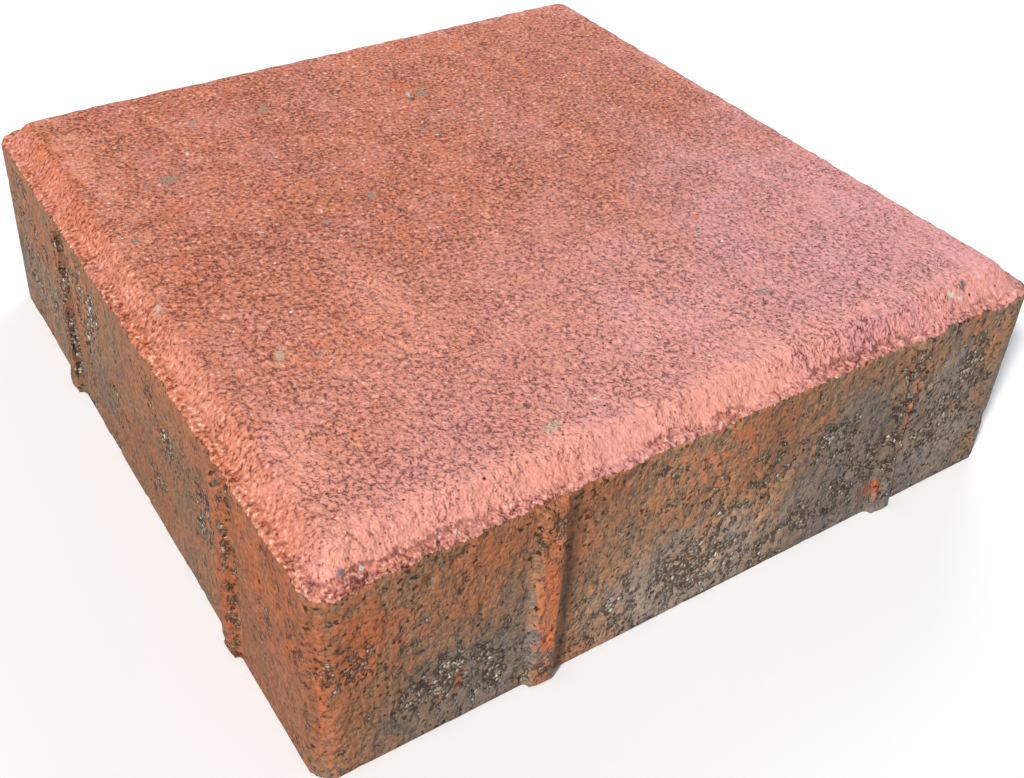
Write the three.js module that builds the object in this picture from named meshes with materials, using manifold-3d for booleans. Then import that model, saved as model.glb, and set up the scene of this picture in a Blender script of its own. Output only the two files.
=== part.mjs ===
// A square pressed-concrete paving stone: straight upright sides with spacer ribs down them, rounded
// upright corners, and a wearing face inside a bevel. The press head leaves a narrow land at the foot of the
// bevel, and the bevel turns softly into the flat.
//
// Millimetres, +Z up. The origin is the middle of the bedding face, which lies on z = 0. The sides face
// -Y, +X, +Y and -X. The stone is one casting, so it is one mesh.
import * as THREE from "three";
import { mergeVertices } from "three/addons/utils/BufferGeometryUtils.js";
import Module from "manifold-3d";

// Driving dimensions
const sideLength = 200; // each side of the square, measured over the faces and not over the ribs
const thickness = 60; // bedding face to wearing face
const cornerRadius = 6.5; // the four upright corners
const landWidth = 3; // the narrow land between the side face and the foot of the bevel
const landRise = 0.4; // how far the land slopes up towards the bevel
const landCornerRadius = 4.5; // the foot of the bevel in plan
const bevelWidth = 3.3; // the straight part of the bevel, seen from above
const bevelDrop = 4; // the straight part of the bevel, seen from the side
const shoulderRadius = 3; // the soft turn from the bevel into the wearing face
const shoulderCornerRadius = 3; // the shoulder in plan
const ribWidth = 6.5; // spacer rib along the side
const ribProud = 2; // spacer rib out from the side: half of the joint between two stones
const ribTipRadius = 1.1; // outer edges of a rib
const ribRootRadius = 1; // where a rib runs into the side

// Middle of each rib from its side's left-hand end, seen from outside. They are not the same way in from both
// ends, so in a laid row the ribs of two stones miss each other and each bears on a plain face.
const ribPlaces = [53.5, 159];

// Facets
const arcSteps = 4; // a quarter turn in plan has twice as many facets
const shoulderFacets = 5;

const cutClearance = 1; // how far a cutting solid runs past what it cuts

const half = sideLength / 2;
const quarterTurn = Math.PI / 2;
const bevelAngle = Math.atan2(bevelDrop, bevelWidth);
const shoulderDrop = shoulderRadius * (1 - Math.cos(bevelAngle));
const bevelFoot = thickness - shoulderDrop - bevelDrop; // height of the land's inner edge
const arrisHeight = bevelFoot - landRise; // height of the sides' top edge

// A rib's section on the -Y side, which goes from left to right in plan and bulges towards -Y.
function addRib(path, middle) {
  const left = middle - ribWidth / 2;
  const right = middle + ribWidth / 2;
  const rootY = -half - ribRootRadius;
  const tipY = -half - ribProud + ribTipRadius;
  path.absarc(left - ribRootRadius, rootY, ribRootRadius, quarterTurn, 0, true);
  path.absarc(left + ribTipRadius, tipY, ribTipRadius, 2 * quarterTurn, 3 * quarterTurn, false);
  path.absarc(right - ribTipRadius, tipY, ribTipRadius, 3 * quarterTurn, 4 * quarterTurn, false);
  path.absarc(right + ribRootRadius, rootY, ribRootRadius, 2 * quarterTurn, quarterTurn, true);
}

// The -Y side in plan, from its first rib to the end of the rounded corner that leads to the +X side.
function sideInPlan() {
  const path = new THREE.Path();
  for (const fromLeft of ribPlaces) addRib(path, -half + fromLeft);
  path.absarc(half - cornerRadius, -half + cornerRadius, cornerRadius, -quarterTurn, 0, false);
  return path.getPoints(arcSteps);
}

// The whole stone in plan: four like sides, each a quarter turn on from the last.
function stonePlan() {
  const centre = new THREE.Vector2();
  const points = [];
  for (let side = 0; side < 4; side++) {
    points.push(...sideInPlan().map((point) => point.rotateAround(centre, side * quarterTurn)));
  }
  return new THREE.Shape(points);
}

// A level ring of the hood: a square with rounded corners, drawn in from the side faces by `inset`.
function hoodRing(inset, radius, z) {
  const reach = half - inset - radius;
  const ring = new THREE.Path();
  for (let side = 0; side < 4; side++) {
    const start = (side - 1) * quarterTurn;
    const diagonal = start + quarterTurn / 2;
    const x = reach * Math.sign(Math.cos(diagonal));
    const y = reach * Math.sign(Math.sin(diagonal));
    ring.absarc(x, y, radius, start, start + quarterTurn, false);
  }
  return ring.getPoints(arcSteps).map((point) => new THREE.Vector3(point.x, point.y, z));
}

// The hood is everything under the land, the bevel and the wearing face. Outside the arris it falls away as
// steeply as the bevel does, which slopes the heads of the ribs, and once past the ribs it drops straight.
function hoodRings() {
  const skirt = ribProud + cutClearance;
  const skirtRadius = cornerRadius + skirt;
  const rings = [
    hoodRing(-skirt, skirtRadius, -cutClearance),
    hoodRing(-skirt, skirtRadius, arrisHeight - skirt * Math.tan(bevelAngle)),
    hoodRing(0, cornerRadius, arrisHeight),
    hoodRing(landWidth, landCornerRadius, bevelFoot),
  ];
  for (let i = 0; i <= shoulderFacets; i++) {
    const slope = bevelAngle * (1 - i / shoulderFacets);
    const inset = landWidth + bevelWidth + shoulderRadius * (Math.sin(bevelAngle) - Math.sin(slope));
    const z = thickness - shoulderRadius * (1 - Math.cos(slope));
    rings.push(hoodRing(inset, shoulderCornerRadius, z));
  }
  return rings;
}

// Joins rings of equally many points into a closed solid, with the first ring as its floor.
function loft(rings) {
  const count = rings[0].length;
  const corners = rings.flat();
  const faces = [];
  for (let level = 1; level < rings.length; level++) {
    for (let i = 0; i < count; i++) {
      const next = (i + 1) % count;
      const below = (level - 1) * count;
      const above = level * count;
      faces.push(below + i, below + next, above + next, below + i, above + next, above + i);
    }
  }
  const top = (rings.length - 1) * count;
  for (let i = 1; i < count - 1; i++) {
    faces.push(0, i + 1, i, top, top + i, top + i + 1);
  }
  const positions = corners.flatMap((corner) => corner.toArray());
  return new THREE.BufferGeometry()
    .setAttribute("position", new THREE.Float32BufferAttribute(positions, 3))
    .setIndex(faces);
}

// Geometry to solid and back
const wasm = await Module();
wasm.setup();

function toSolid(geometry) {
  const bare = geometry.clone();
  bare.deleteAttribute("normal");
  bare.deleteAttribute("uv");
  const merged = mergeVertices(bare, 1e-4);
  return new wasm.Manifold(
    new wasm.Mesh({
      numProp: 3,
      vertProperties: merged.attributes.position.array,
      triVerts: new Uint32Array(merged.index.array),
    }),
  );
}

function toGeometry(solid) {
  const mesh = solid.getMesh();
  const geometry = new THREE.BufferGeometry()
    .setAttribute("position", new THREE.BufferAttribute(mesh.vertProperties, mesh.numProp))
    .setIndex(new THREE.BufferAttribute(mesh.triVerts, 1));
  const facetted = geometry.toNonIndexed();
  facetted.computeVertexNormals();
  return facetted;
}

// The stone: its plan pushed straight up, then cut by the hood.
function pavingStone() {
  const upright = new THREE.ExtrudeGeometry(stonePlan(), {
    depth: thickness + cutClearance,
    bevelEnabled: false,
  });
  const casting = toSolid(upright).intersect(toSolid(loft(hoodRings())));
  const redConcrete = new THREE.MeshStandardMaterial({
    color: "#b3705a",
    roughness: 0.92,
    metalness: 0,
  });
  const mesh = new THREE.Mesh(toGeometry(casting), redConcrete);
  mesh.name = "paving_stone";
  return mesh;
}

const group = new THREE.Group();
group.add(pavingStone());

export default group;
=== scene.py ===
# A square pressed-concrete paving stone. The casting is remeshed finely, then worn, pitted and torn inwards
# from its clean moulded shape, so it never leaves that shape's box. The finish is one procedural concrete:
# a red face mix over a brown-grey body mix.
#
# Blender works in metres. Sizes here are millimetres and are turned to metres where they reach Blender.
import itertools
import math
from collections import namedtuple

import bpy
import numpy as np
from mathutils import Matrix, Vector


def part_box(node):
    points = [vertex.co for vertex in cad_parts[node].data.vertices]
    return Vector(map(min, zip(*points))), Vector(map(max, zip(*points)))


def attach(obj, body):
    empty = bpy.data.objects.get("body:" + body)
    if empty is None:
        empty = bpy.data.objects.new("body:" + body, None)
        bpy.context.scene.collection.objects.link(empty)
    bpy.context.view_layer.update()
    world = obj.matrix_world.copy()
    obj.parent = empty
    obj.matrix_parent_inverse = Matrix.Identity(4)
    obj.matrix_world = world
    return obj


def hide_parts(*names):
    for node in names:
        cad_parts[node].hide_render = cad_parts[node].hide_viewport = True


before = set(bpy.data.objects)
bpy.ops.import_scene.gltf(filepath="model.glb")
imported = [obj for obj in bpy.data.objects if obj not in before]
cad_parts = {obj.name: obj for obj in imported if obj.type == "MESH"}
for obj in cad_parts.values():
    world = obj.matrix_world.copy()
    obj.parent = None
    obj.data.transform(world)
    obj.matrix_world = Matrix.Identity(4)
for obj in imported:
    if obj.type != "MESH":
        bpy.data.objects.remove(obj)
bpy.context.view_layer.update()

# Sizes, mm
MM = 0.001
LOW, HIGH = (np.array(corner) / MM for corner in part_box("paving_stone"))
RIB_PROUD = 2.0
FIRST_RIB = 53.5  # the ribs' middles, from each side's left-hand end, seen from outside
SECOND_RIB = 159.0
SIDE = HIGH[0] - LOW[0] - 2 * RIB_PROUD
HALF = SIDE / 2
THICKNESS = HIGH[2] - LOW[2]
CORNER_RADIUS = 6.5
EDGE_DROP = 5.5  # from the wearing face down to the arris
ARRIS = THICKNESS - EDGE_DROP
LAND_WIDTH = 3.0
ARRIS_REACH = 9.0  # wear along the arris stays this near to it
HOLE_SPACING = 7.0  # between the deeper pits of the sides
GRAIN_SPACING = 2.7  # between the grains of the open body mix
FAR_FROM_PEBBLES = -3.0  # how far inside a pebble a point counts where none is near
VOXEL = 0.65
MOST_TRIANGLES = 190_000

# Grain of the finish, mm. Real sand is a quarter of this and too fine to show, and so are the pits that it
# leaves. They are drawn as coarse as it takes to see them.
SAND = 1.0
CRUMB = 2.2
CRUMB_SLIMNESS = 0.7  # width over height: the mould drags the crumbs upwards
PIT_SPACING = 1.5
SPECK_SPACING = 2.8
BODY_GRAIN = 1.0
BUMP_HEIGHT = 1.0

SIDE_NAMES = ("front", "right", "back", "left")

STRONGEST_TONE = 1.3  # tones run from 0 to 1 or a little over
NOISE_RANGE = {1: 0.3, 2: 0.7}  # nearly all that a noise texture gives, as what a Map Range reads

# Things in the surface. On a side, `along` runs from its left-hand end, seen from outside, and `up` from the
# bedding face. On the top they are X and Y from the corner between the front and the left side.
Pebble = namedtuple("Pebble", "face along up length width turn tint")
Patch = namedtuple("Patch", "face along up length height strength")

# Tints of pebbles, each with how much of the face mix it hides
LIME = ("#cdc4ab", 0.55)
GREY = ("#9c968e", 0.6)
GREEN_GREY = ("#98907a", 0.6)
BLUE_GREY = ("#636c79", 0.85)
BLACK = ("#33262a", 0.85)
WHITE = ("#f2ece4", 0.9)
ORANGE = ("#e08050", 0.7)

# Tones of the finish, dark to light. The darkest end of the face and land tones is painted shade between the
# crumbs, and their lightest end painted glints on them.
FACE_TONES_WITH_SHADE_AND_GLINTS = ((0.3, "#7e3a28"), (0.4, "#bd6a4d"), (0.5, "#cb7758"), (0.62, "#d78568"), (0.76, "#f2bda8"))
LAND_TONES_WITH_SHADE_AND_GLINTS = ((0.3, "#7a3c28"), (0.42, "#bb6440"), (0.52, "#d27a52"), (0.62, "#e49f7e"), (0.74, "#f8d6c4"))
SPECK_TONES = ((0.0, "#54302a"), (0.5, "#7c4638"), (0.75, "#c96a44"), (0.87, "#f6d9cc"), (1.0, "#fff6ee"))
SKIN_TONES = ((0.0, "#7e7169"), (0.35, "#8a705b"), (0.65, "#9a7052"), (1.0, "#a66a47"))
GRAIN_TONES = ((0.0, "#6e6052"), (0.5, "#928270"), (0.8, "#b0a08c"), (1.0, "#e9e0d2"))

# Tints of the face mix, each with the field that says where it lies and how strong it gets. The pinkish tint
# is painted sheen, and the whitish one mostly painted sheen.
FACE_TINTS = (("warm", "#e0703f", 0.5), ("pink_sheen", "#e8aebc", 0.5), ("pale_mix_and_sheen", "#ffac92", 0.6))
# Pinkish painted sheen for the land
LAND_PINK_SHEEN = "#dba0ae"
# Painted shade in the cracks of the face and in the seam at the foot of the bevel
CRACK_SHADE = "#6c3427"
STAIN_COLOUR = "#b5663e"
PIT_SHADE = "#8f7868"
HOLLOW_SHADE = "#9c8b7d"

PEBBLES = (
    Pebble("top", 24.0, 61.7, 5.6, 2.4, 65, LIME),
    Pebble("top", 30.4, 57.4, 2.8, 1.8, 10, GREY),
    Pebble("top", 30.9, 143.4, 7.0, 4.0, 5, GREEN_GREY),
    Pebble("top", 24.7, 142.7, 2.4, 2.2, 0, GREEN_GREY),
    Pebble("top", 110.9, 156.2, 3.8, 1.8, 70, WHITE),
    Pebble("top", 110.4, 153.1, 2.8, 1.8, 60, BLACK),
    Pebble("top", 115.1, 155.6, 4.6, 4.0, 30, GREEN_GREY),
    Pebble("top", 69.4, 168.4, 6.0, 2.6, 60, GREEN_GREY),
    Pebble("top", 48.4, 170.3, 4.0, 2.2, 50, GREY),
    Pebble("top", 25.6, 166.0, 3.2, 1.6, 70, GREY),
    Pebble("top", 73.0, 110.6, 5.0, 2.4, 80, GREY),
    Pebble("top", 57.3, 104.9, 2.4, 2.0, 0, GREY),
    Pebble("top", 104.0, 135.4, 3.2, 1.6, 0, GREY),
    Pebble("top", 106.9, 132.0, 4.0, 1.4, 70, GREEN_GREY),
    Pebble("top", 110.4, 142.0, 2.4, 1.8, 20, GREY),
    Pebble("top", 115.0, 139.9, 2.4, 1.4, 20, GREY),
    Pebble("top", 86.9, 164.3, 1.8, 1.1, 40, WHITE),
    Pebble("top", 58.4, 72.0, 1.8, 1.6, 0, GREY),
    Pebble("top", 61.6, 13.1, 5.0, 2.8, 20, LIME),
    Pebble("top", 60.9, 21.0, 2.2, 1.8, 30, BLACK),
    Pebble("top", 132.2, 27.5, 4.0, 3.0, 20, GREEN_GREY),
    Pebble("top", 130.1, 23.9, 2.2, 1.5, 40, BLACK),
    Pebble("top", 133.7, 25.9, 2.4, 1.4, 30, BLACK),
    Pebble("top", 76.3, 187.0, 2.2, 2.0, 0, ORANGE),
    Pebble("top", 61.6, 179.1, 2.6, 1.8, 20, ORANGE),
    Pebble("top", 149.7, 176.3, 2.2, 2.0, 50, BLACK),
    Pebble("top", 79.4, 137.3, 1.8, 1.2, 20, BLACK),
    Pebble("top", 76.3, 101.0, 2.6, 1.2, 70, BLACK),
    Pebble("top", 113.9, 112.3, 1.7, 1.1, 0, BLACK),
    Pebble("top", 111.9, 108.9, 1.3, 1.1, 0, BLACK),
    Pebble("top", 73.1, 61.7, 1.3, 1.1, 0, BLACK),
    Pebble("top", 70.3, 50.6, 1.2, 1.0, 0, BLACK),
    Pebble("top", 26.1, 44.6, 1.0, 1.0, 0, BLACK),
    Pebble("top", 94.1, 100.4, 1.5, 1.0, 90, BLACK),
    Pebble("top", 95.7, 122.7, 1.6, 1.2, 10, BLACK),
    Pebble("top", 13.0, 119.4, 4.0, 2.2, 20, GREY),
    Pebble("top", 7.3, 90.9, 5.0, 2.0, 80, LIME),
    Pebble("top", 40.1, 154.1, 3.0, 1.4, 60, WHITE),
    Pebble("top", 40.9, 108.1, 1.7, 1.5, 0, WHITE),
    Pebble("top", 178.3, 6.6, 2.8, 2.0, 20, BLUE_GREY),
    Pebble("top", 173.5, 5.8, 2.0, 1.5, 10, WHITE),
    Pebble("top", 175.8, 4.9, 1.6, 1.2, 10, WHITE),
    Pebble("top", 184.3, 7.0, 2.4, 1.0, 40, WHITE),
    Pebble("top", 187.0, 8.2, 1.6, 1.0, 40, WHITE),
    Pebble("top", 137.3, 56.3, 1.8, 1.2, 30, BLUE_GREY),
    Pebble("top", 186.3, 52.0, 2.6, 2.2, 0, ORANGE),
    Pebble("top", 140.9, 61.3, 2.4, 2.0, 0, ORANGE),
    Pebble("top", 38.7, 8.9, 1.6, 1.2, 0, BLUE_GREY),
    Pebble("top", 8.3, 3.4, 1.7, 1.3, 0, BLUE_GREY),
    Pebble("top", 12.4, 3.0, 1.4, 1.1, 0, WHITE),
    Pebble("front", 85.4, 1.0, 2.6, 1.6, 0, BLACK),
    Pebble("left", 159.8, 51.8, 2.8, 1.3, 100, BLUE_GREY),
)

# Open body mix
HONEYCOMBS = (
    Patch("front", 30, 15, 26, 16, 1.0),
    Patch("front", 40, 11, 16, 16, 1.0),
    Patch("front", 100, 34, 8, 10, 1.1),
    Patch("front", 104, 24, 14, 14, 1.0),
    Patch("front", 95, 12, 28, 20, 1.1),
    Patch("front", 76, 10, 18, 14, 0.8),
    Patch("front", 121, 8, 10, 8, 0.9),
    Patch("front", 130, 11, 9, 12, 1.1),
    Patch("front", 137, 32, 20, 18, 0.85),
    Patch("front", 150, 20, 18, 20, 0.8),
    Patch("front", 142, 12, 22, 14, 0.8),
    Patch("front", 161, 34, 7, 20, 0.9),
    Patch("front", 174, 22, 20, 20, 0.95),
    Patch("front", 184, 38, 14, 20, 0.8),
    Patch("left", 126, 36, 10, 10, 0.8),
    Patch("left", 145, 30, 8, 14, 0.7),
    Patch("left", 119, 42, 7, 7, 0.7),
    Patch("left", 76, 36, 12, 22, 0.9),
    Patch("left", 92, 20, 14, 14, 0.6),
    Patch("left", 50, 28, 9, 50, 0.9),
    Patch("left", 57, 28, 5, 50, 0.9),
    Patch("front", FIRST_RIB, 47, 8, 10, 0.8),
    Patch("front", SECOND_RIB, 46, 9, 15, 1.1),
    Patch("front", SECOND_RIB, 26, 8, 44, 0.9),
    Patch("left", 162, 28, 4, 60, 0.75),
    Patch("left", 20, 20, 24, 24, 0.6),
    Patch("left", 178, 28, 8, 14, 0.5),
)

# Red mix on the sides
STAINS = (
    Patch("front", 20, 25, 6, 5, 1.0),
    Patch("front", 33, 13, 4, 8, 0.7),
    Patch("front", FIRST_RIB, 26, 7.5, 60, 0.95),
    Patch("front", 1, 30, 6, 60, 0.9),
    Patch("front", 10, 40, 20, 28, 0.85),
    Patch("front", 34, 47, 30, 10, 0.45),
    Patch("front", 92, 30, 6, 8, 0.6),
    Patch("front", 96, 42, 24, 22, 0.45),
    Patch("front", 105, 42, 10, 12, 0.5),
    Patch("front", 154, 7, 10, 8, 0.8),
    Patch("front", 162, 32, 4, 26, 0.9),
    Patch("front", 187, 38, 7, 24, 0.6),
    Patch("left", 185, 40, 44, 40, 0.9),
    Patch("left", 160, 28, 7, 60, 1.0),
    Patch("left", 49, 28, 6, 50, 0.8),
    Patch("left", 90, 10, 40, 10, 0.4),
    Patch("left", 140, 8, 40, 12, 0.4),
)

# Skin that the loose red stains keep off
CLEAN_PATCHES = (
    Patch("front", 78, 36, 44, 46, 0.85),
    Patch("front", 30, 30, 30, 30, 0.4),
    Patch("left", 100, 36, 60, 30, 0.4),
)

# Skin that is grey where the rest is brown
GREY_PATCHES = (
    Patch("front", 34, 10, 44, 36, 1.05),
    Patch("front", 74, 34, 26, 44, 0.2),
    Patch("front", 47, 30, 12, 24, 0.5),
    Patch("front", 96, 12, 54, 34, 0.75),
    Patch("front", 145, 22, 60, 44, 0.75),
    Patch("front", 176, 22, 26, 44, 0.7),
    Patch("left", 126, 28, 40, 30, 0.3),
    Patch("right", 90, 16, 90, 30, 0.6),
    Patch("back", 60, 20, 60, 34, 0.5),
)

# Skin that is lighter than the rest, or darker where the strength is below 0. Three of the darker patches
# are painted shade beside the ribs.
LIGHT_AND_SHADE_PATCHES = (
    Patch("front", 92, 42, 34, 30, 1.3),
    Patch("front", 70, 26, 24, 40, 0.6),
    Patch("front", 94, 14, 70, 34, 2.5),
    Patch("front", 176, 14, 26, 28, 0.9),
    Patch("front", 176, 36, 20, 24, 0.9),
    Patch("front", FIRST_RIB, 28, 8, 60, 1.2),
    Patch("front", 188, 30, 10, 50, 0.4),
    # Painted shadow that the first front rib casts to its right
    Patch("front", 59.8, 28, 3.6, 70, -1.7),
    Patch("front", 118, 40, 10, 26, -0.5),
    # Painted shade in the hollow by the second front rib's head
    Patch("front", 157, 34, 5, 44, -1.0),
    # Painted shade on the flank of the first left rib that faces the front
    Patch("left", 57, 28, 5, 60, -1.4),
    Patch("left", 82, 14, 56, 30, -0.35),
)

# Pale and orange mix on the face
PALE_PATCHES = (
    Patch("top", 52, 70, 16, 50, 0.45),
    Patch("top", 12, 28, 10, 30, 0.5),
    Patch("top", 150, 12, 50, 8, 0.3),
)

WARM_PATCHES = (
    Patch("top", 137, 5.5, 52, 8, 1.3),
    Patch("top", 58, 5, 10, 5, 0.7),
    Patch("top", 7, 160, 8, 60, 0.5),
    Patch("top", 196, 120, 8, 60, 0.6),
)

# Loss along the arris, and from ribs that tore as the mould came off: here the strength is in mm
CHIPS = (
    Patch("front", 6, ARRIS, 20, 6, 1.8),
    Patch("left", 197, ARRIS, 10, 6, 1.6),
    Patch("front", 31, ARRIS, 12, 4, 0.9),
    Patch("front", 100, ARRIS, 14, 4, 0.8),
    Patch("front", 160, ARRIS, 11, 8, 2.6),
    Patch("front", 187, ARRIS, 9, 4, 2.4),
    Patch("left", SECOND_RIB, ARRIS, 7, 4, 1.4),
    Patch("left", 55, ARRIS, 10, 4, 1.2),
)

TORN_RIBS = (
    Patch("front", SECOND_RIB, 30, 12, 80, 1.7),
    Patch("left", FIRST_RIB, 30, 12, 80, 1.2),
    Patch("left", SECOND_RIB, 30, 12, 80, 0.4),
    Patch("right", FIRST_RIB, 16, 12, 30, 0.8),
    Patch("back", SECOND_RIB, 44, 12, 24, 1.1),
)


# Numbers
FAR_CELL = 100_000  # added to the numbers of a cell, which keeps them above 0


def ease(value, low, high):
    """0 below low, 1 above high, and a soft step between them."""
    share = np.clip((value - low) / (high - low), 0, 1)
    return share * share * (3 - 2 * share)


def cell_value(cells, seed):
    """A random number from 0 to 1 for each whole-numbered cell, mixed from it by large primes."""
    cells = cells.astype(np.uint64)
    mixed = cells[:, 0] * np.uint64(374761393) + cells[:, 1] * np.uint64(668265263)
    mixed = mixed + cells[:, 2] * np.uint64(2246822519) + np.uint64(seed * 3266489917 + 97)
    mixed = (mixed ^ (mixed >> np.uint64(15))) * np.uint64(2654435761)
    mixed = mixed ^ (mixed >> np.uint64(13))
    return (mixed & np.uint64(0xFFFF)).astype(float) / 0xFFFF


def lumps(points, size, seed):
    """Smooth noise from -1 to 1, with lumps and hollows about `size` across. Each seed gives other lumps."""
    place = points / size
    home = np.floor(place)
    part = place - home
    part = part * part * (3 - 2 * part)
    cells = home.astype(np.int64) + FAR_CELL
    total = np.zeros(len(points))
    for step in itertools.product((0, 1), repeat=3):
        weight = np.prod(np.where(step, part, 1 - part), axis=1)
        total += weight * cell_value(cells + np.array(step), seed)
    return 2 * total - 1


def scattered(points, spacing, seed):
    """Distance to the nearest of some scattered spots, and the random number that the spot carries."""
    place = points / spacing
    home = np.floor(place).astype(np.int64)
    nearest = np.full(len(points), np.inf)
    carried = np.zeros(len(points))
    for step in itertools.product((-1, 0, 1), repeat=3):
        cells = home + np.array(step)
        spread = np.stack([cell_value(cells + FAR_CELL, seed + axis) for axis in range(3)], axis=1)
        distance = np.linalg.norm(cells + spread - place, axis=1)
        closer = distance < nearest
        nearest = np.where(closer, distance, nearest)
        carried = np.where(closer, cell_value(cells + FAR_CELL, seed + 3), carried)
    return nearest * spacing, carried


def linear(colour):
    """An sRGB hex colour as linear RGBA."""
    parts = [int(colour[i : i + 2], 16) / 255 for i in (1, 3, 5)]
    return [c / 12.92 if c <= 0.04045 else ((c + 0.055) / 1.055) ** 2.4 for c in parts] + [1.0]


# The casting's surface, read as places on the stone
class Surface:
    """Points of the stone in mm, with the face that each lies on and its place there."""

    def __init__(self, points, normals):
        self.points = points
        self.normals = normals
        x, y, z = points.T
        self.x = x + HALF
        self.y = y + HALF
        self.up = z
        self.below_arris = ARRIS - z

        # How far in from the side faces, below 0 on the ribs, and the level way out to the nearest face
        over = np.abs(points[:, :2]) - (HALF - CORNER_RADIUS)
        beyond = np.maximum(over, 0)
        reach = np.linalg.norm(beyond, axis=1)
        self.inset = CORNER_RADIUS - reach - np.minimum(over.max(axis=1), 0)
        flat = np.where(over == over.max(axis=1)[:, None], 1.0, 0.0)
        out = np.where((reach > 1e-6)[:, None], beyond, flat) * np.sign(points[:, :2])
        self.outward = out / np.maximum(np.linalg.norm(out, axis=1), 1e-6)[:, None]

        # Which side each point belongs to, and how much it is part of the head, the underside and so on
        self.side = np.argmax(np.stack([-y, x, y, -x]), axis=0)
        self.along = np.choose(self.side, [x + HALF, y + HALF, HALF - x, HALF - y])
        self.head = ease(normals[:, 2], 0.1, 0.35)
        self.under = ease(-normals[:, 2], 0.5, 0.8)
        self.flank = 1 - self.head - self.under
        self.bevel = 1 - ease(self.inset, 4, 14)
        self.land = 1 - ease(self.inset, LAND_WIDTH - 0.6, LAND_WIDTH + 0.4)

    def on_side(self, side):
        """Which points belong to a named side."""
        return self.side == SIDE_NAMES.index(side)

    def on_face(self, face):
        """Weight of a named face, and the place along and up it."""
        if face == "top":
            return self.head, self.x, self.y
        return self.on_side(face) * (1 - self.under), self.along, self.up


def patches(surface, places):
    """How strongly each point lies in the given patches, which fade from 0.4 to 1.4 of their half size."""
    total = np.zeros(len(surface.points))
    for patch in places:
        here, along, up = surface.on_face(patch.face)
        far = np.hypot((along - patch.along) / (patch.length / 2), (up - patch.up) / (patch.height / 2))
        value = here * patch.strength * (1 - ease(far, 0.4, 1.4))
        total = np.where(np.abs(value) > np.abs(total), value, total)
    return total


def pebble_fields(surface):
    """How many mm each point lies inside the nearest pebble, and that pebble's colour and cover."""
    depth = np.full(len(surface.points), FAR_FROM_PEBBLES)
    tint = np.tile(linear("#ffffff"), (len(surface.points), 1))
    for pebble in PEBBLES:
        here, along, up = surface.on_face(pebble.face)
        turn = math.radians(pebble.turn)
        east = along - pebble.along
        north = up - pebble.up
        lengthwise = (east * math.cos(turn) + north * math.sin(turn)) / (pebble.length / 2)
        crosswise = (north * math.cos(turn) - east * math.sin(turn)) / (pebble.width / 2)
        inside = (1 - np.hypot(lengthwise, crosswise)) * pebble.width / 2
        nearer = (inside > depth) & (here > 0.3)
        depth = np.where(nearer, inside, depth)
        colour, cover = pebble.tint
        tint[nearer] = linear(colour)[:3] + [cover]
    return depth, tint


def near_front(surface):
    """The front side and the head above it, less so past the middle."""
    return surface.on_side("front") * (1 - 0.7 * ease(surface.x, 110, 150))


# Relief: every function gives mm to move inwards
def arris_wear(surface):
    """The loss along the arris, down and in: a little everywhere, more in the chips and the ribs' heads."""
    points = surface.points
    loss = 0.6 + 0.5 * lumps(points, 6, 11) + 0.6 * lumps(points, 2.6, 12)
    loss = loss + 0.6 * np.maximum(0, lumps(points, 24, 13) - 0.15)
    loss = loss + patches(surface, CHIPS) * (0.8 + 0.9 * lumps(points, 2.6, 14))
    gap = np.maximum(loss, 0.1) - (surface.inset + surface.below_arris)
    near = 1 - ease(surface.inset, 0.6, LAND_WIDTH + 0.6)
    return np.where(np.abs(surface.below_arris) < ARRIS_REACH, np.maximum(gap, 0), 0) * near / math.sqrt(2)


def foot_wear(surface):
    """The slightly ragged edge round the bedding face, up and in."""
    loss = 0.35 + 0.3 * lumps(surface.points, 5, 21) + 0.2 * lumps(surface.points, 2.2, 22)
    gap = np.maximum(loss, 0.05) - (np.maximum(surface.inset, 0) + surface.up)
    return np.maximum(gap, 0) / math.sqrt(2)


def head_relief(surface):
    """The granular face: pressed flat on top, crumbly on the land."""
    points = surface.points
    land = ease(surface.inset, -2.5, 0.5) * (1 - ease(surface.inset, LAND_WIDTH - 0.6, LAND_WIDTH + 0.8))
    grain = 0.22 + 0.06 * lumps(points, 6, 31) + 0.2 * lumps(points, 2.6, 32)
    rough = 0.14 * lumps(points, 2.2, 36) + 0.35 * ease(lumps(points, 3.1, 33), 0.3, 0.9)
    grain = grain + ease(surface.inset, 7, 12) * rough
    crumble = 0.15 + 0.3 * lumps(points, 3, 34) + 0.5 * lumps(points, 1.7, 35)
    crumble = np.maximum(crumble, 0) * np.where(surface.on_side("left"), 0.5, 1)
    return surface.head * (np.maximum(grain, 0) + land * crumble)


def flank_relief(surface, honeycomb):
    """A pressed skin with a few pits, and open honeycomb where the skin is gone."""
    points = surface.points
    skin = 0.12 + 0.1 * lumps(points, 22, 51) + 0.05 * lumps(points, 4, 52)
    away, carried = scattered(points, HOLE_SPACING, 53)
    pit = 0.7 * carried * (1 - ease(away, 0.3 + 0.9 * carried, 0.8 + 1.3 * carried))
    grain, size = scattered(points, GRAIN_SPACING, 57)
    open_mix = 0.25 + 0.55 * ease(grain, 0.5, 1.9) + 0.3 * size
    return surface.flank * (np.maximum(skin, 0.02) + pit * (carried > 0.45) + honeycomb * open_mix)


def rib_tears(surface):
    """Ribs that tore as the mould came off: lumps and hollows in what stands proud of the side."""
    points = surface.points
    proud = ease(-surface.inset, -0.6, 0.8)
    torn = patches(surface, TORN_RIBS) * (0.5 + 0.5 * lumps(points, 3.4, 61) + 0.5 * lumps(points, 8, 62))
    return proud * np.maximum(torn, 0) * (1 - surface.under)


def pebble_relief(depth):
    """Pebbles sit a little below the face."""
    return 0.15 * ease(depth, -0.3, 0.3)


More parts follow.
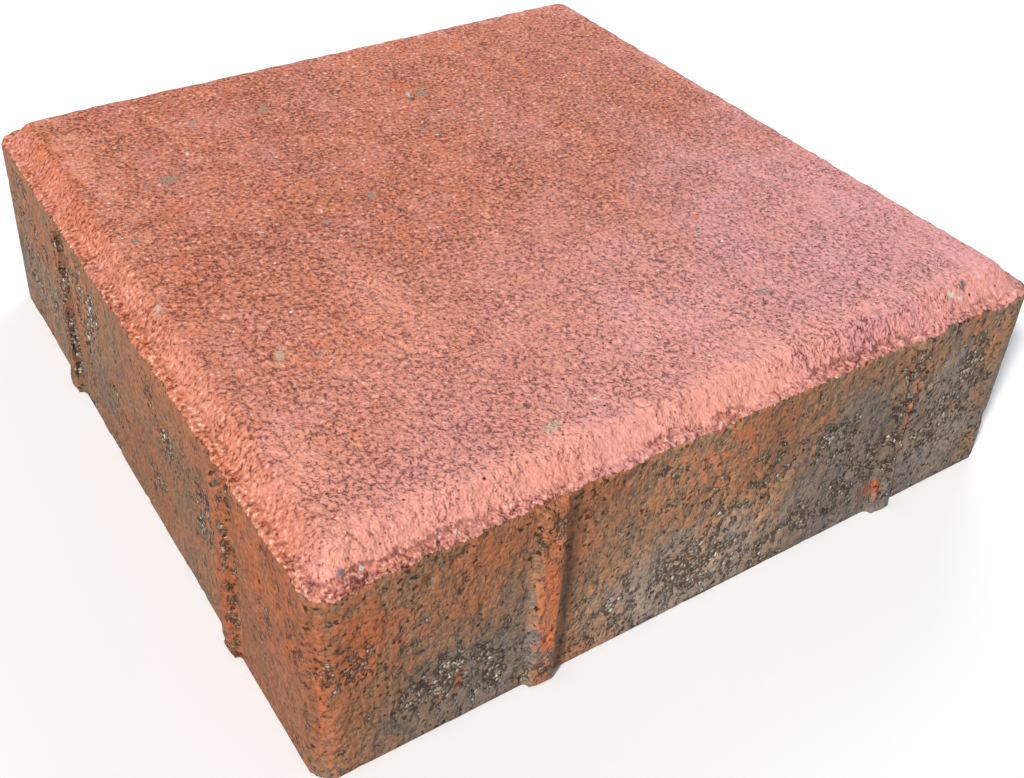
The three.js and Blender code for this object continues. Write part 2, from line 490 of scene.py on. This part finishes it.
# Fields: how much of something each point has
def honeycomb_field(surface):
    """Where the body mix is open between its grains."""
    points = surface.points
    wander = lumps(points, 16, 41) + 0.5 * lumps(points, 6, 42)
    lower = 0.25 * (1 - surface.up / THICKNESS)
    ragged = 0.4 * lumps(points, 3.5, 44)
    loose = ease(wander + lower + ragged, 0.35, 1.1) * 0.7
    placed = patches(surface, HONEYCOMBS) * (0.85 + 0.5 * lumps(points, 4, 43))
    return np.clip(np.maximum(loose, placed), 0, 1) * surface.flank


def stain_field(surface):
    """Red mix smeared down from the face over the brown body."""
    points = surface.points
    smear = lumps(points * np.array([1, 1, 0.35]), 7, 71) + 0.5 * lumps(points, 3, 72)
    near_face = 1 - ease(surface.below_arris, 0, 30)
    loose = 0.5 * ease(smear + 0.5 * near_face, 0.35, 1.1) + 0.6 * ease(lumps(points, 2.6, 74), 0.55, 0.85)
    clean = np.maximum(patches(surface, CLEAN_PATCHES), 0.8 * patches(surface, GREY_PATCHES))
    loose = loose * np.maximum(1 - clean, 0)
    placed = patches(surface, STAINS) * (0.85 + 0.4 * lumps(points, 5, 73))
    return np.clip(np.maximum(loose, placed), 0, 1)


def face_mix_field(surface):
    """Where the red face mix shows: the head but not the ribs' heads, and a ragged lip below the arris."""
    points = surface.points
    lip = 0.5 + 0.5 * lumps(points, 5, 81) + 0.4 * lumps(points, 2, 82) + 0.8 * patches(surface, CHIPS)
    return ease(surface.inset, -0.9, 0.1) * (1 - ease(surface.below_arris - lip, -0.3, 0.5))


def open_face_field(surface):
    """Where the grain is open and the cracks are wide: less on the bevels, more in the warm patches."""
    points = surface.points
    left = surface.on_side("left")
    flank = 0.45 + 0.4 * lumps(points, 9, 83) + 0.4 * ease(surface.x, 120, 180) + 0.25 * left
    head = 0.7 + (0.3 * surface.land * ~left - 0.2 - 0.35 * near_front(surface)) * surface.bevel
    head = head + 0.4 * patches(surface, WARM_PATCHES) - 0.25 * ease(0.5 * surface.x - surface.y, 30, 90)
    field = surface.head * head + surface.flank * flank - 0.2 * ease(surface.y, 60, 180)
    return field + 0.4 * lumps(points, 5, 91) + 0.3 * lumps(points, 17, 92)


def pink_sheen_field(surface):
    """Painted sheen: a pinkish cast that grows towards the front right corner, with some random patches of
    it.
    """
    points = surface.points
    field = ease(0.5 * surface.x - surface.y, -60, 60) + 0.25 * lumps(points, 14, 93)
    return field + 0.3 * ease(lumps(points, 7, 88), 0.4, 0.9)


def pale_mix_and_sheen_field(surface):
    """A whitish tint on the face that is mostly painted sheen: on the bevels where they face the light, on
    the near part of the head and in a streak at the left, with a few patches of paler fine mix.
    """
    points = surface.points
    x = surface.x
    y = surface.y
    patchy = lumps(points, 6, 87)
    # Painted sheen on the bevels where they face the light, strongest towards the front.
    bevels = surface.bevel * ease(surface.inset, 1.5, 4) * (0.25 + 0.8 * near_front(surface))
    field = bevels * (1 + 0.8 * patchy) + 0.1 * patchy + patches(surface, PALE_PATCHES)
    field = field - 0.5 * patches(surface, WARM_PATCHES)
    # Painted sheen on the near part of the head.
    near = 0.45 * (1 - ease(y, 30, 120)) * (1 - 0.5 * ease(x, 110, 150))
    field = field + near * (1 - 0.8 * surface.bevel * surface.on_side("left"))
    # Painted sheen: a whitish streak by the far end of the left bevel.
    streak = ease(y, 90, 130) * ease(x, 7, 11) * (1 - ease(x, 13, 26)) * (1 + lumps(points, 3, 81))
    return field + 0.5 * streak


def warm_field(surface):
    """Orange crumbs: scattered over the face, closer on the land and in the warm patches."""
    points = surface.points
    field = patches(surface, WARM_PATCHES) * (0.8 + 0.5 * lumps(points, 4, 82))
    field = field + ease(lumps(points, 3.2, 98) + 0.6 * lumps(points, 9, 99), 0.45, 1.1)
    return field + 0.6 * ease(lumps(points, 2.4, 86), 0.2, 0.7) * surface.land


def seam_field(surface):
    """How open the seam at the foot of the bevel is."""
    return 0.6 * ease(lumps(surface.points, 9, 89) + 0.6 * near_front(surface), 0.3, 0.9)


def skin_tone_field(surface):
    """The skin from grey at 0 to brown at 1: browner near the front left corner and towards the arris."""
    points = surface.points
    field = 0.9 - 0.5 * ease(np.hypot(surface.x, surface.y), 10, 190)
    field = field + 0.25 * (surface.up / THICKNESS - 0.5)
    field = field - 0.7 * patches(surface, GREY_PATCHES) + 0.2 * surface.on_side("left")
    return field + 0.25 * lumps(points, 20, 94) + 0.25 * lumps(points, 8, 95) + 0.12 * lumps(points, 3, 96)


def skin_light_and_shade_field(surface):
    """How light the skin is: the left side darkened with painted shade, most near its foot and its front
    end, and lighter or darker by patches, a few of them painted shade.
    """
    points = surface.points
    field = 0.76 + 0.06 * lumps(points, 3.4, 85) + 0.07 * lumps(points, 12, 84)
    # Painted shade on the left side
    shade = 0.19 - 0.06 * ease(surface.y, 90, 130) - 0.09 * surface.up / THICKNESS
    return field - surface.on_side("left") * shade + 0.2 * patches(surface, LIGHT_AND_SHADE_PATCHES)


# Tones, each with the function that gives it, and all the numbers that the finish reads from the mesh
TONE_FIELDS = {
    "open_face": open_face_field,
    "pink_sheen": pink_sheen_field,
    "pale_mix_and_sheen": pale_mix_and_sheen_field,
    "warm": warm_field,
    "seam": seam_field,
    "skin_tone": skin_tone_field,
    "light": skin_light_and_shade_field,
}
SURFACE_FIELDS = ("face_mix", "inset", "honeycomb", "stain", "pebble", *TONE_FIELDS)


# The mesh
def fine_copy(node):
    """The casting's mesh, welded and remeshed to even small faces."""
    stone = bpy.data.objects.new("pressed_stone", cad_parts[node].data.copy())
    bpy.context.scene.collection.objects.link(stone)
    weld = stone.modifiers.new("weld", "WELD")
    weld.merge_threshold = 0.01 * MM
    remesh = stone.modifiers.new("remesh", "REMESH")
    remesh.mode = "VOXEL"
    remesh.voxel_size = VOXEL * MM
    apply_modifiers(stone)
    return stone


def apply_modifiers(piece):
    """Bakes a piece's modifiers into its mesh."""
    evaluated = piece.evaluated_get(bpy.context.evaluated_depsgraph_get())
    baked = bpy.data.meshes.new_from_object(evaluated)
    piece.modifiers.clear()
    piece.data = baked


def get_points(mesh):
    """A mesh's points in mm."""
    points = np.empty(len(mesh.vertices) * 3)
    mesh.vertices.foreach_get("co", points)
    return points.reshape(-1, 3) / MM


def set_points(mesh, points):
    """Writes points in mm into a mesh, kept inside the casting's box."""
    points = np.clip(points, LOW, HIGH)
    mesh.vertices.foreach_set("co", (points * MM).astype(np.float32).ravel())
    mesh.update()


def store(mesh, name, values):
    """Keeps one number or colour a vertex for the material to read."""
    kind = "FLOAT" if values.ndim == 1 else "FLOAT_COLOR"
    layer = mesh.attributes.new(name, kind, "POINT")
    layer.data.foreach_set("value" if values.ndim == 1 else "color", values.astype(np.float32).ravel())


def worn_stone():
    """The stone as it is: the fine copy, moved inwards by all its relief."""
    stone = fine_copy("paving_stone")
    mesh = stone.data
    points = get_points(mesh)
    normals = np.empty(len(mesh.vertices) * 3)
    mesh.vertex_normals.foreach_get("vector", normals)
    surface = Surface(points, normals.reshape(-1, 3))

    honeycomb = honeycomb_field(surface)
    pebble_depth, pebble_tint = pebble_fields(surface)
    inward = head_relief(surface) + flank_relief(surface, honeycomb) + rib_tears(surface)
    inward = inward + pebble_relief(pebble_depth)
    down_and_in = np.column_stack([-surface.outward, -np.ones(len(points))]) / math.sqrt(2)
    up_and_in = np.column_stack([-surface.outward, np.ones(len(points))]) / math.sqrt(2)
    moved = points - surface.normals * inward[:, None]
    moved = moved + down_and_in * arris_wear(surface)[:, None] + up_and_in * foot_wear(surface)[:, None]
    set_points(mesh, moved)

    store(mesh, "face_mix", face_mix_field(surface))
    store(mesh, "inset", surface.inset)
    store(mesh, "honeycomb", honeycomb)
    store(mesh, "stain", stain_field(surface))
    for name, tone_field in TONE_FIELDS.items():
        store(mesh, name, np.clip(tone_field(surface), 0, STRONGEST_TONE))
    store(mesh, "pebble", pebble_depth)
    store(mesh, "pebble_tint", pebble_tint)
    triangles = 2 * len(mesh.polygons)
    thin = stone.modifiers.new("thin", "DECIMATE")
    thin.ratio = min(1, MOST_TRIANGLES / triangles)
    apply_modifiers(stone)
    set_points(stone.data, get_points(stone.data))
    stone.data.shade_smooth()
    return stone


# Finish
def add(tree, kind, inputs=None, stops=None, **settings):
    """Adds a node with its settings, and fills its sockets with values or with what other nodes give out.

    Sockets go by name or number. A Map Range reads the range from 1 to 2 and gives the range from 3 to 4. A
    Mix has its share at 0, and mixes numbers at 2 and 3 or colours at 6 and 7.
    """
    node = tree.nodes.new(kind)
    for name, value in settings.items():
        setattr(node, name, value)
    for name, value in (inputs or {}).items():
        if isinstance(value, bpy.types.Node):
            value = next(output for output in value.outputs if output.enabled)
        if isinstance(value, bpy.types.NodeSocket):
            tree.links.new(value, node.inputs[name])
        else:
            node.inputs[name].default_value = value
    if stops:
        ramp = node.color_ramp.elements
        while len(ramp) < len(stops):
            ramp.new(0.5)
        for element, (place, colour) in zip(ramp, stops):
            element.position = place
            element.color = linear(colour)
    return node


def cracks(tree, fields, grit, crumbs):
    """Fine broken cracks that run between the crumbs, wider where the surface is open. They are drawn only
    in colour, as painted shade.
    """
    edge = add(tree, "ShaderNodeMath", {0: crumbs, 1: 0.5}, operation="SUBTRACT")
    edge = add(tree, "ShaderNodeMath", {0: edge}, operation="ABSOLUTE")
    closed = add(tree, "ShaderNodeMapRange", {"Value": grit, 1: 0.4, 2: 0.62, 3: 0.0, 4: 0.08})
    edge = add(tree, "ShaderNodeMath", {0: edge, 1: closed}, operation="ADD")
    width = add(tree, "ShaderNodeMapRange", {"Value": fields["open_face"], 3: 0.01, 4: 0.085})
    return add(tree, "ShaderNodeMapRange", {"Value": edge, 1: width, 2: 0.0})


def pits(tree, place, fields, ragged):
    """Small ragged pits in the sides, more and wider ones where the surface is open."""
    holes = add(tree, "ShaderNodeTexVoronoi", {"Vector": place, "Scale": 1 / (PIT_SPACING * MM)})
    chance = add(tree, "ShaderNodeSeparateColor", {0: holes.outputs["Color"]})
    size = add(tree, "ShaderNodeMapRange", {"Value": chance, 1: 0.3, 3: -0.4, 4: 0.14})
    size = add(tree, "ShaderNodeMath", {0: fields["open_face"], 1: 0.35, 2: size}, operation="MULTIPLY_ADD")
    reach = add(tree, "ShaderNodeMath", {0: holes, 1: ragged}, operation="ADD")
    reach = add(tree, "ShaderNodeMath", {0: reach, 1: size}, operation="SUBTRACT")
    return add(tree, "ShaderNodeMapRange", {"Value": reach, 1: 0.08, 2: -0.08})


def land_and_seam(tree, fields, lump):
    """Where the land shows its looser crumbs, and the thin broken seam between it and the bevel."""
    ragged = add(tree, "ShaderNodeMapRange", {"Value": lump, **NOISE_RANGE, 3: -0.7, 4: 0.7})
    inset = add(tree, "ShaderNodeMath", {0: fields["inset"], 1: ragged}, operation="ADD")
    seam = add(tree, "ShaderNodeMath", {0: inset, 1: LAND_WIDTH}, operation="SUBTRACT")
    seam = add(tree, "ShaderNodeMath", {0: seam}, operation="ABSOLUTE")
    seam = add(tree, "ShaderNodeMapRange", {"Value": seam, 1: 0.5, 2: 0.1, 3: 0.0, 4: fields["seam"]})
    bared = add(tree, "ShaderNodeMath", {0: fields["seam"], 1: 0.9, 2: 0.3}, operation="MULTIPLY_ADD")
    land = {"Value": inset, 1: LAND_WIDTH + 0.3, 2: LAND_WIDTH - 0.3, 4: bared}
    return add(tree, "ShaderNodeMapRange", land), seam


def specks(tree, place, colour):
    """Coarser grains, one every few millimetres: near black, orange or white."""
    grains = add(tree, "ShaderNodeTexVoronoi", {"Vector": place, "Scale": 1 / (SPECK_SPACING * MM)})
    chance = add(tree, "ShaderNodeSeparateColor", {0: grains.outputs["Color"]})
    reach = {0: chance.outputs[1], 1: -0.14, 2: grains}
    reach = add(tree, "ShaderNodeMath", reach, operation="MULTIPLY_ADD")
    inside = add(tree, "ShaderNodeMapRange", {"Value": reach, 1: 0.03, 2: -0.03})
    speck = add(tree, "ShaderNodeValToRGB", {"Fac": chance.outputs[0]}, stops=SPECK_TONES)
    return add(tree, "ShaderNodeMix", {0: inside, 6: colour, 7: speck}, data_type="RGBA")


def face_mix(tree, place, fields, grit, lump, crack):
    """Fine sand and red pigment: terracotta crumbs, paler on top, with painted shade in the cracks between
    them and painted glints on the lightest crumbs.
    """
    land, seam = land_and_seam(tree, fields, lump)
    # The cracks and the seam are darkened with painted shade.
    gap = add(tree, "ShaderNodeMath", {0: crack, 1: seam}, operation="MAXIMUM")
    tone = add(tree, "ShaderNodeMapRange", {"Value": fields["open_face"], 3: 0.03, 4: -0.03})
    tone = add(tree, "ShaderNodeMath", {0: grit, 1: tone}, operation="ADD")
    # The darkest crumbs carry painted shade and the lightest painted glints.
    colour = add(tree, "ShaderNodeValToRGB", {"Fac": tone}, stops=FACE_TONES_WITH_SHADE_AND_GLINTS)
    loose = add(tree, "ShaderNodeValToRGB", {"Fac": tone}, stops=LAND_TONES_WITH_SHADE_AND_GLINTS)
    for name, tint, share in FACE_TINTS:
        tinted = add(tree, "ShaderNodeMix", {0: share, 6: colour, 7: linear(tint)}, data_type="RGBA")
        colour = add(tree, "ShaderNodeMix", {0: fields[name], 6: colour, 7: tinted}, data_type="RGBA")
    # The land takes a pinkish painted sheen where the sheen field says.
    tinted = add(tree, "ShaderNodeMix", {0: 0.25, 6: loose, 7: linear(LAND_PINK_SHEEN)}, data_type="RGBA")
    loose = add(tree, "ShaderNodeMix", {0: fields["pink_sheen"], 6: loose, 7: tinted}, data_type="RGBA")
    colour = add(tree, "ShaderNodeMix", {0: land, 6: colour, 7: loose}, data_type="RGBA")
    colour = add(tree, "ShaderNodeMix", {0: gap, 6: colour, 7: linear(CRACK_SHADE)}, data_type="RGBA")
    colour = specks(tree, place, colour)

    rough = add(tree, "ShaderNodeMapRange", {"Value": fields["open_face"], 2: 0.6, 3: 0.4, 4: 1.05})
    height = add(tree, "ShaderNodeMapRange", {"Value": lump, 1: 0.25, 2: 0.75, 3: 0.0, 4: rough})
    return colour, add(tree, "ShaderNodeMath", {0: grit, 1: 0.25, 2: height}, operation="MULTIPLY_ADD")


def cement_skin(tree, fields, grit, lump, pit):
    """What the mould's wall pressed smooth: brown to grey, with red mix smeared over it and painted shade in
    its pits.
    """
    plates = add(tree, "ShaderNodeMapRange", {"Value": lump, 1: 0.44, 2: 0.56, 3: 0.14, 4: -0.14})
    tone = add(tree, "ShaderNodeMath", {0: fields["skin_tone"], 1: plates}, operation="ADD")
    colour = add(tree, "ShaderNodeValToRGB", {"Fac": tone}, stops=SKIN_TONES)
    shift = add(tree, "ShaderNodeMapRange", {"Value": lump, **NOISE_RANGE, 3: 0.3, 4: -0.3})
    stain = add(tree, "ShaderNodeMath", {0: fields["stain"], 1: shift}, operation="ADD")
    stain = add(tree, "ShaderNodeMapRange", {"Value": stain, 1: 0.3, 2: 0.9})
    colour = add(tree, "ShaderNodeMix", {0: stain, 6: colour, 7: linear(STAIN_COLOUR)}, data_type="RGBA")
    sandy = add(tree, "ShaderNodeMapRange", {"Value": grit, **NOISE_RANGE, 3: 0.9, 4: 1.74})
    sandy = add(tree, "ShaderNodeMath", {0: plates, 1: 0.8, 2: sandy}, operation="MULTIPLY_ADD")
    # The skin's lightness, with the painted shade of the left side and beside the ribs.
    sandy = add(tree, "ShaderNodeMath", {0: sandy, 1: fields["light"]}, operation="MULTIPLY")
    colour = add(tree, "ShaderNodeVectorMath", {0: colour, "Scale": sandy}, operation="SCALE")
    # Painted shade in the pits.
    shaded = {0: pit, 6: colour, 7: linear(PIT_SHADE)}
    return add(tree, "ShaderNodeMix", shaded, data_type="RGBA", blend_type="MULTIPLY")


def open_body_mix(tree, place, fields, skin, depth):
    """Body mix that the skin has not closed: hollows darkened with painted shade between the grains and at
    the rim, and grey to white grains in the wider ones.
    """
    grains = {"Vector": place, "Scale": 1 / (BODY_GRAIN * MM)}
    grains = add(tree, "ShaderNodeTexVoronoi", grains, distance="MANHATTAN")
    tones = add(tree, "ShaderNodeSeparateColor", {0: grains.outputs["Color"]})
    colour = add(tree, "ShaderNodeValToRGB", {"Fac": tones}, stops=GRAIN_TONES)
    dust = add(tree, "ShaderNodeMapRange", {"Value": fields["honeycomb"], 3: 0.4, 4: 0.0})
    dusted = add(tree, "ShaderNodeMath", {0: fields["stain"], 1: 0.5, 2: dust}, operation="MULTIPLY_ADD")
    colour = add(tree, "ShaderNodeMix", {0: dusted, 6: colour, 7: skin}, data_type="RGBA")
    # Painted shade in the hollows: between the grains and at the rim of each opening.
    shaded_hollow = {0: 1.0, 6: skin, 7: linear(HOLLOW_SHADE)}
    shaded_hollow = add(tree, "ShaderNodeMix", shaded_hollow, data_type="RGBA", blend_type="MULTIPLY")
    between = add(tree, "ShaderNodeMapRange", {"Value": grains, 1: 0.65, 2: 0.95})
    rim_shade = add(tree, "ShaderNodeMapRange", {"Value": depth, 1: 0.04, 2: 0.01})
    dark = add(tree, "ShaderNodeMath", {0: between, 1: rim_shade}, operation="MAXIMUM")
    colour = add(tree, "ShaderNodeMix", {0: dark, 6: colour, 7: shaded_hollow}, data_type="RGBA")
    return colour, add(tree, "ShaderNodeMapRange", {"Value": grains, 1: 0.1, 2: 0.9, 3: 0.5, 4: 0.1})


def pebbles(tree, fields, grit, ragged, colour):
    """Single pebbles that lie bare in the surface, each in its own tint and partly filmed over."""
    tint = add(tree, "ShaderNodeAttribute", attribute_name="pebble_tint")
    mottle = add(tree, "ShaderNodeMapRange", {"Value": grit, 1: 0.35, 2: 0.65, 3: 1.2, 4: 0.65})
    pebble = {0: tint.outputs["Color"], "Scale": mottle}
    pebble = add(tree, "ShaderNodeVectorMath", pebble, operation="SCALE")
    within = add(tree, "ShaderNodeMath", {0: ragged, 1: 1.2, 2: fields["pebble"]}, operation="MULTIPLY_ADD")
    within = add(tree, "ShaderNodeMapRange", {"Value": within, 1: -0.1, 2: 0.35})
    within = add(tree, "ShaderNodeMath", {0: within, 1: tint.outputs["Alpha"]}, operation="MULTIPLY")
    return add(tree, "ShaderNodeMix", {0: within, 6: colour, 7: pebble}, data_type="RGBA")


def pressed_concrete():
    """Pressed concrete, unsealed: a wet-pressed face of sand and red pigment over a body of coarser mix.

    The eye sees a matt, granular terracotta face, and brown to grey sides with a smooth skin that opens in
    pits and honeycomb.
    """
    material = bpy.data.materials.new("pressed_concrete")
    material.use_nodes = True
    tree = material.node_tree
    tree.nodes.clear()
    place = add(tree, "ShaderNodeTexCoord").outputs["Object"]
    fields = {}
    for name in SURFACE_FIELDS:
        fields[name] = add(tree, "ShaderNodeAttribute", attribute_name=name).outputs["Fac"]

    # Sand, the crumbs that it clings together in, and the ragged edge that it gives to patches
    grit = {"Vector": place, "Scale": 1 / (SAND * MM), "Detail": 1, "Roughness": 0.6}
    grit = add(tree, "ShaderNodeTexNoise", grit)
    drawn = add(tree, "ShaderNodeMapping", {"Vector": place, "Scale": (1, 1, CRUMB_SLIMNESS)})
    lump = {"Vector": drawn, "Scale": 1 / (CRUMB * MM), "Detail": 2, "Roughness": 0.6}
    lump = add(tree, "ShaderNodeTexNoise", lump)
    crumbs = {"Vector": drawn, "Scale": 1 / (CRUMB * MM), "Detail": 3, "Roughness": 0.7}
    crumbs = add(tree, "ShaderNodeTexNoise", crumbs)
    ragged = add(tree, "ShaderNodeMapRange", {"Value": grit, **NOISE_RANGE, 3: -0.3, 4: 0.3})

    # The sides: cement skin, and honeycomb where it is open
    opened = {0: fields["honeycomb"], 1: 0.28, 2: lump}
    opened = add(tree, "ShaderNodeMath", opened, operation="MULTIPLY_ADD")
    depth = add(tree, "ShaderNodeMath", {0: opened, 1: 0.66}, operation="SUBTRACT")
    is_open = add(tree, "ShaderNodeMapRange", {"Value": depth, 1: 0.0, 2: 0.02})
    pit = pits(tree, place, fields, ragged)
    skin_colour = cement_skin(tree, fields, grit, lump, pit)
    skin_height = add(tree, "ShaderNodeMapRange", {"Value": lump, 1: 0.44, 2: 0.6, 3: 0.8, 4: 0.5})
    skin_height = add(tree, "ShaderNodeMath", {0: pit, 1: -0.2, 2: skin_height}, operation="MULTIPLY_ADD")
    bare_colour, bare_height = open_body_mix(tree, place, fields, skin_colour, depth)
    colour = add(tree, "ShaderNodeMix", {0: is_open, 6: skin_colour, 7: bare_colour}, data_type="RGBA")
    height = add(tree, "ShaderNodeMix", {0: is_open, 2: skin_height, 3: bare_height})

    # The face mix over them, with a ragged edge, and the pebbles in both
    is_face = add(tree, "ShaderNodeMath", {0: fields["face_mix"], 1: ragged}, operation="ADD")
    is_face = add(tree, "ShaderNodeMapRange", {"Value": is_face, 1: 0.4, 2: 0.6})
    crack = cracks(tree, fields, grit, crumbs)
    face_colour, face_height = face_mix(tree, place, fields, grit, lump, crack)
    colour = add(tree, "ShaderNodeMix", {0: is_face, 6: colour, 7: face_colour}, data_type="RGBA")
    height = add(tree, "ShaderNodeMix", {0: is_face, 2: height, 3: face_height})

    colour = pebbles(tree, fields, grit, ragged, colour)
    bump = add(tree, "ShaderNodeBump", {"Height": height, "Strength": 1.0, "Distance": BUMP_HEIGHT * MM})
    sockets = {"Base Color": colour, "Normal": bump, "Roughness": 0.6, "IOR": 1.45}
    shader = add(tree, "ShaderNodeBsdfPrincipled", sockets)
    add(tree, "ShaderNodeOutputMaterial", {"Surface": shader})
    return material


# Studio
def studio_floor():
    """A matt floor: white to the camera, and a little darker for the light that it sends back."""
    material = bpy.data.materials.new("pale_floor")
    material.use_nodes = True
    tree = material.node_tree
    tree.nodes.clear()
    seen = add(tree, "ShaderNodeLightPath").outputs["Is Camera Ray"]
    colour = {0: seen, 6: linear("#c9c7c4"), 7: linear("#ffffff")}
    colour = add(tree, "ShaderNodeMix", colour, data_type="RGBA")
    shader = add(tree, "ShaderNodeBsdfDiffuse", {"Color": colour})
    add(tree, "ShaderNodeOutputMaterial", {"Surface": shader})
    bpy.ops.mesh.primitive_plane_add(size=8)
    floor = bpy.context.object
    floor.name = "floor"
    floor.data.materials.append(material)


def studio_light():
    """Even light from all round, a soft key from the front left and a cool window from the back right."""
    world = bpy.data.worlds.new("studio")
    bpy.context.scene.world = world
    world.use_nodes = True
    background = world.node_tree.nodes["Background"]
    background.inputs["Color"].default_value = (0.95, 0.97, 1.0, 1)
    background.inputs["Strength"].default_value = 0.32
    sun = bpy.data.lights.new("key", "SUN")
    sun.energy = 3.15
    sun.angle = math.radians(5)
    key = bpy.data.objects.new("key", sun)
    key.rotation_euler = Vector((-0.69, -0.34, 0.64)).to_track_quat("Z", "Y").to_euler()
    bpy.context.scene.collection.objects.link(key)
    pane = bpy.data.lights.new("window", "AREA")
    pane.energy = 6.5
    pane.size = 0.7
    pane.color = (0.85, 0.9, 1.0)
    window = bpy.data.objects.new("window", pane)
    turn = math.radians(38)
    towards = Vector((math.cos(turn), math.sin(turn), 0.65)).normalized()
    window.location = towards * 1.4
    window.rotation_euler = towards.to_track_quat("Z", "Y").to_euler()
    bpy.context.scene.collection.objects.link(window)


def studio_camera():
    """Close above the near corner, looking down on the stone."""
    data = bpy.data.cameras.new("camera")
    data.lens = 45.216
    data.sensor_width = 36
    data.shift_x = 0.0578
    data.shift_y = -0.1182
    camera = bpy.data.objects.new("camera", data)
    camera.location = (-0.163918, -0.241929, 0.232509)
    camera.rotation_euler = [math.radians(angle) for angle in (55.785, -1.684, -31.718)]
    bpy.context.scene.collection.objects.link(camera)
    bpy.context.scene.camera = camera


# The stone in its studio
bpy.context.scene.view_settings.view_transform = "Standard"
studio_floor()
studio_light()
studio_camera()
stone = worn_stone()
stone.data.materials.clear()
stone.data.materials.append(pressed_concrete())
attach(stone, "root")
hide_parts("paving_stone")
